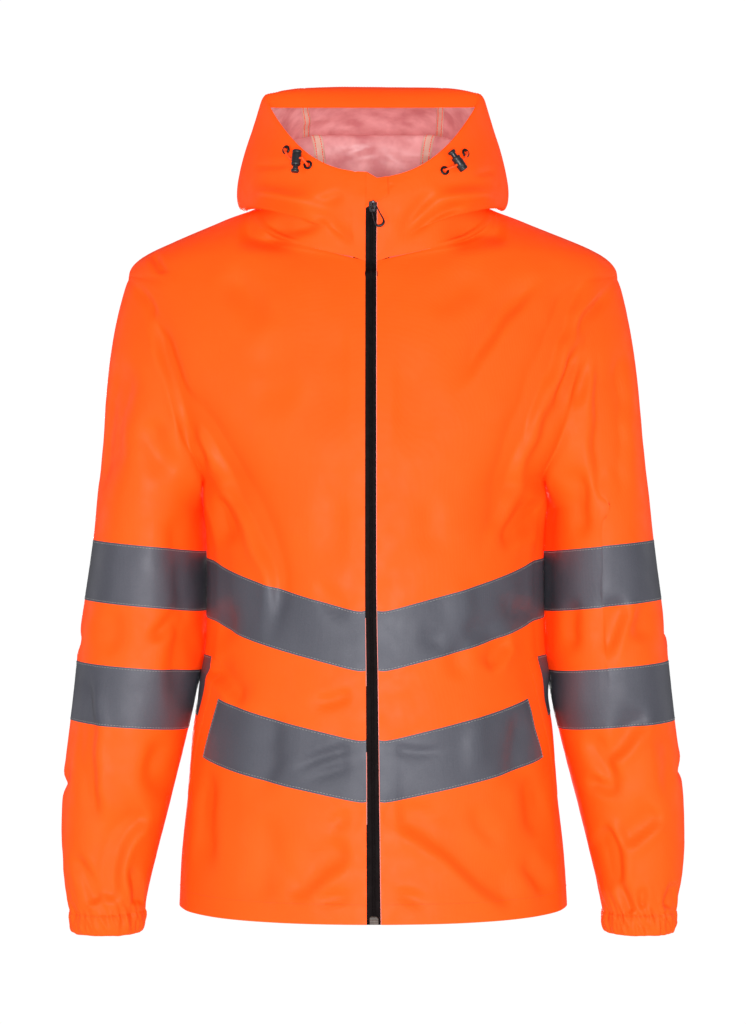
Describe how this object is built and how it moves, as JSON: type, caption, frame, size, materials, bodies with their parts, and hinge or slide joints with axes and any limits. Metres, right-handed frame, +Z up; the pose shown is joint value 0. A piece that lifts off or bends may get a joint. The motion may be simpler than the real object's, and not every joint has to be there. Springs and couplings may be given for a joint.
{
  "type": "hi-vis work jacket",
  "caption": "Hooded hi-vis work jacket in orange with grey reflective bands, front zip, hood drawcord with cord locks and elasticated cuffs, in its worn, hollow form.",
  "frame": {"origin": "between the two points where the neckline meets the shoulder seams, where the wearer's shoulders hold the jacket", "axes": "+Z up, the front with the zip faces -Y, +X to the right of someone who looks at the front"},
  "size_m": [0.62, 0.3029, 0.8413],
  "materials": {
    "shell": "fluorescent orange coated polyester, matt outside",
    "reflective_tape": "silver-grey glass-bead reflective tape",
    "zip_tape": "black woven zip tape with a nylon coil",
    "zip_metal": "black painted die-cast slider and wire puller",
    "zip_stop": "moulded zip box and pin",
    "eyelet": "black painted eyelet",
    "cord": "orange elastic cord",
    "cord_lock": "black moulded cord lock",
    "loop": "dark red woven loop"
  },
  "bodies": {
    "jacket": {"back": "shell", "cord_left": "cord", "cord_right": "cord", "cuff_left": "shell", "cuff_right": "shell", "eyelet_inner_left": "eyelet", "eyelet_inner_right": "eyelet", "eyelet_outer_left": "eyelet", "eyelet_outer_right": "eyelet", "front_left": "shell", "front_right": "shell", "hanger_loop": "loop", "hood_brim": "shell", "hood_centre": "shell", "hood_left": "shell", "hood_right": "shell", "lock_barrel_left": "cord_lock", "lock_barrel_right": "cord_lock", "pocket_welt_left": "shell", "pocket_welt_right": "shell", "sleeve_left": "shell", "sleeve_right": "shell", "tape_back_lower": "reflective_tape", "tape_back_upper": "reflective_tape", "tape_front_lower_left": "reflective_tape", "tape_front_lower_right": "reflective_tape", "tape_front_upper_left": "reflective_tape", "tape_front_upper_right": "reflective_tape", "tape_sleeve_lower_left": "reflective_tape", "tape_sleeve_lower_right": "reflective_tape", "tape_sleeve_upper_left": "reflective_tape", "tape_sleeve_upper_right": "reflective_tape", "zip_garage": "shell", "zip_slider": "zip_metal", "zip_stop": "zip_stop", "zip_tape_left": "zip_tape", "zip_tape_right": "zip_tape"},
    "puller": {"zip_puller": "zip_metal"},
    "plunger_left": {"lock_plunger_left": "cord_lock"},
    "plunger_right": {"lock_plunger_right": "cord_lock"}
  },
  "joints": [
    {"name": "zip_pull", "type": "hinge", "parent": "jacket", "child": "puller", "pos_m": [0.00009, -0.10485, 0.0092], "axis": [-1, 0, 0], "range_deg": [0, 150]},
    {"name": "lock_press_left", "type": "slide", "parent": "jacket", "child": "plunger_left", "axis": [0.0987, 0.1747, 0.9797], "range_m": [0, 0.0035], "stiffness_N_per_m": 600, "springref_m": -0.001},
    {"name": "lock_press_right", "type": "slide", "parent": "jacket", "child": "plunger_right", "axis": [0.5836, 0.1165, -0.8036], "range_m": [0, 0.0035], "stiffness_N_per_m": 600, "springref_m": -0.001}
  ]
}
